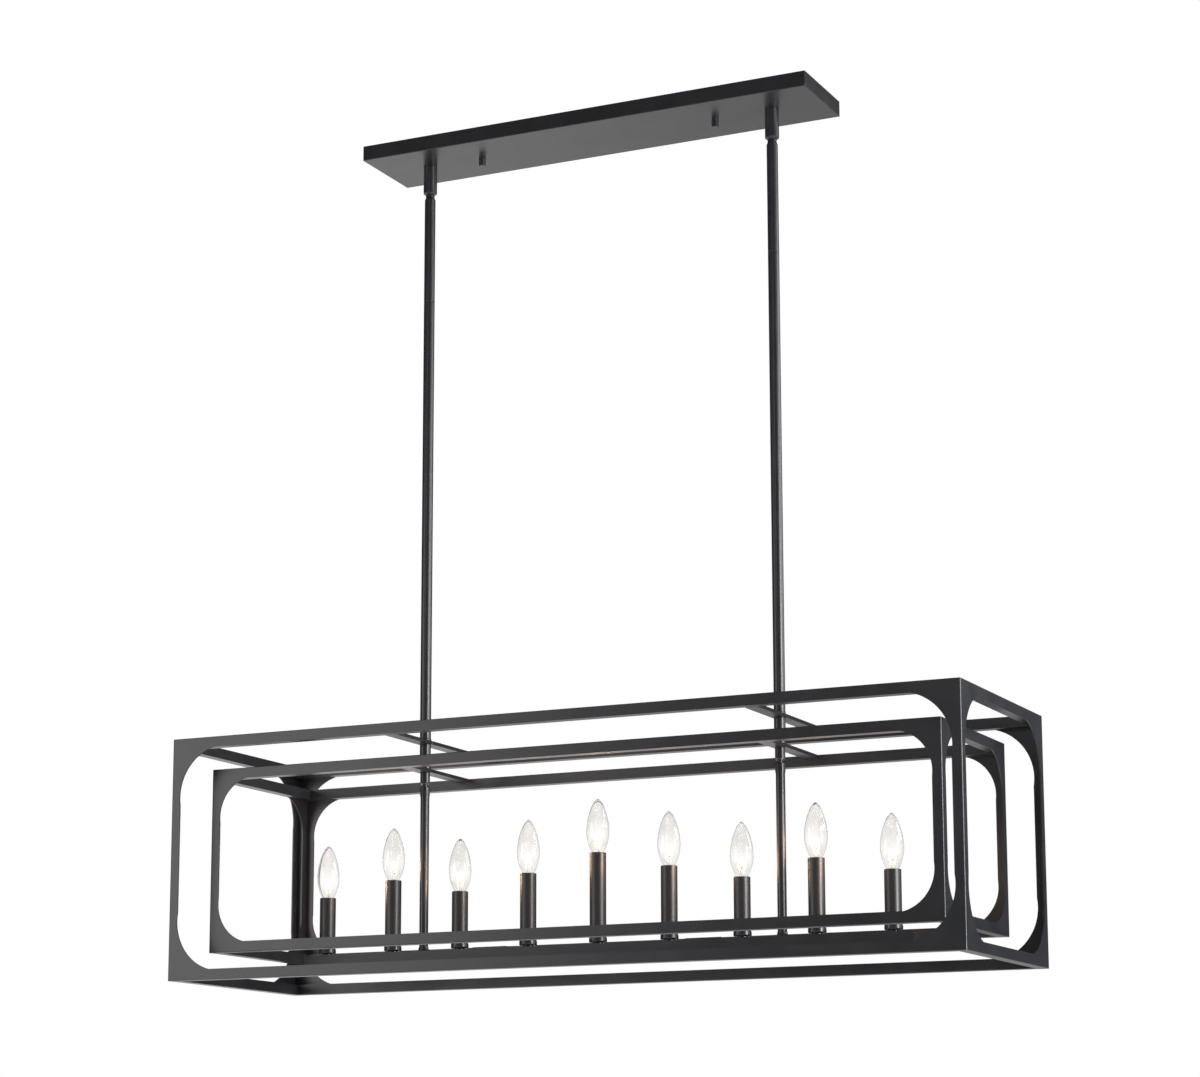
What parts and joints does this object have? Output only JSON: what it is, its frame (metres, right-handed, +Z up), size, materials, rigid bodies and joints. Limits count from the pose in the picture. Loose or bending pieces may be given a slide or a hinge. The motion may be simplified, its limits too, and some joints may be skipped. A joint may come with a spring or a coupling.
{
  "type": "linear island pendant",
  "caption": "Linear island pendant with nested open rectangular cages on rigid stems under a long canopy, holding a row of candle lamps at staggered heights.",
  "frame": {"origin": "centre of the strap bracket's two box-screw slots, on the ceiling, which is the centre of the canopy's top", "axes": "+X along the fixture to the right, -Y to its front, +Z up to the ceiling"},
  "size_m": [1.18, 0.344, 1.23],
  "materials": {
    "satin_black": "satin powder coat",
    "sleeve_black": "matte",
    "plated_steel": "zinc plated",
    "phenolic": "moulded",
    "wire_insulation": "matte",
    "bulb_glass": "clear"
  },
  "bodies": {
    "ceiling_group": {"mounting_bracket": "plated_steel", "canopy_studs": "plated_steel", "stud_nuts": "plated_steel", "canopy": "satin_black", "cap_nuts": "satin_black", "housing_nipples": "plated_steel", "nipple_nuts": "plated_steel", "swivel_housings": "satin_black", "supply_wiring": "wire_insulation"},
    "pendant": {"swivel_balls": "satin_black", "short_rods": "satin_black", "long_rods": "satin_black", "rod_nipples": "plated_steel", "frame_collars": "satin_black", "frame_nipples": "plated_steel", "spacer_tubes": "satin_black", "outer_crossbars": "satin_black", "inner_crossbars": "satin_black", "lower_couplings": "satin_black", "row_rod_ferrules": "satin_black", "row_rods": "satin_black", "rod_feet": "satin_black", "socket_channel": "satin_black", "channel_cover": "satin_black", "channel_top_plates": "satin_black", "channel_nuts": "plated_steel", "candle_cups": "satin_black", "socket_posts": "plated_steel", "candle_sockets": "phenolic", "sleeves_short": "sleeve_black", "sleeves_medium": "sleeve_black", "sleeve_tall": "sleeve_black", "wiring_harness": "wire_insulation", "outer_rail_top_front": "satin_black", "outer_rail_top_back": "satin_black", "outer_rail_bottom_front": "satin_black", "outer_rail_bottom_back": "satin_black", "outer_end_rails": "satin_black", "outer_post_front_left": "satin_black", "outer_post_front_right": "satin_black", "outer_post_back_left": "satin_black", "outer_post_back_right": "satin_black", "inner_rail_top_front": "satin_black", "inner_rail_top_back": "satin_black", "inner_rail_bottom_front": "satin_black", "inner_rail_bottom_back": "satin_black", "inner_end_rails": "satin_black", "inner_post_front_left": "satin_black", "inner_post_front_right": "satin_black", "inner_post_back_left": "satin_black", "inner_post_back_right": "satin_black"},
    "bulb_1": {"bulb_1": "bulb_glass"},
    "bulb_2": {"bulb_2": "bulb_glass"},
    "bulb_3": {"bulb_3": "bulb_glass"},
    "bulb_4": {"bulb_4": "bulb_glass"},
    "bulb_5": {"bulb_5": "bulb_glass"},
    "bulb_6": {"bulb_6": "bulb_glass"},
    "bulb_7": {"bulb_7": "bulb_glass"},
    "bulb_8": {"bulb_8": "bulb_glass"},
    "bulb_9": {"bulb_9": "bulb_glass"}
  },
  "joints": [
    {"name": "pendant_swing", "type": "hinge", "parent": "ceiling_group", "child": "pendant", "pos_m": [0, 0, -0.06], "axis": [1, 0, 0], "range_deg": [-15, 15]},
    {"name": "bulb_1_unscrew", "type": "slide", "parent": "pendant", "child": "bulb_1", "axis": [0, 0, 1], "range_m": [0, 0.016]},
    {"name": "bulb_2_unscrew", "type": "slide", "parent": "pendant", "child": "bulb_2", "axis": [0, 0, 1], "range_m": [0, 0.016]},
    {"name": "bulb_3_unscrew", "type": "slide", "parent": "pendant", "child": "bulb_3", "axis": [0, 0, 1], "range_m": [0, 0.016]},
    {"name": "bulb_4_unscrew", "type": "slide", "parent": "pendant", "child": "bulb_4", "axis": [0, 0, 1], "range_m": [0, 0.016]},
    {"name": "bulb_5_unscrew", "type": "slide", "parent": "pendant", "child": "bulb_5", "axis": [0, 0, 1], "range_m": [0, 0.016]},
    {"name": "bulb_6_unscrew", "type": "slide", "parent": "pendant", "child": "bulb_6", "axis": [0, 0, 1], "range_m": [0, 0.016]},
    {"name": "bulb_7_unscrew", "type": "slide", "parent": "pendant", "child": "bulb_7", "axis": [0, 0, 1], "range_m": [0, 0.016]},
    {"name": "bulb_8_unscrew", "type": "slide", "parent": "pendant", "child": "bulb_8", "axis": [0, 0, 1], "range_m": [0, 0.016]},
    {"name": "bulb_9_unscrew", "type": "slide", "parent": "pendant", "child": "bulb_9", "axis": [0, 0, 1], "range_m": [0, 0.016]}
  ]
}
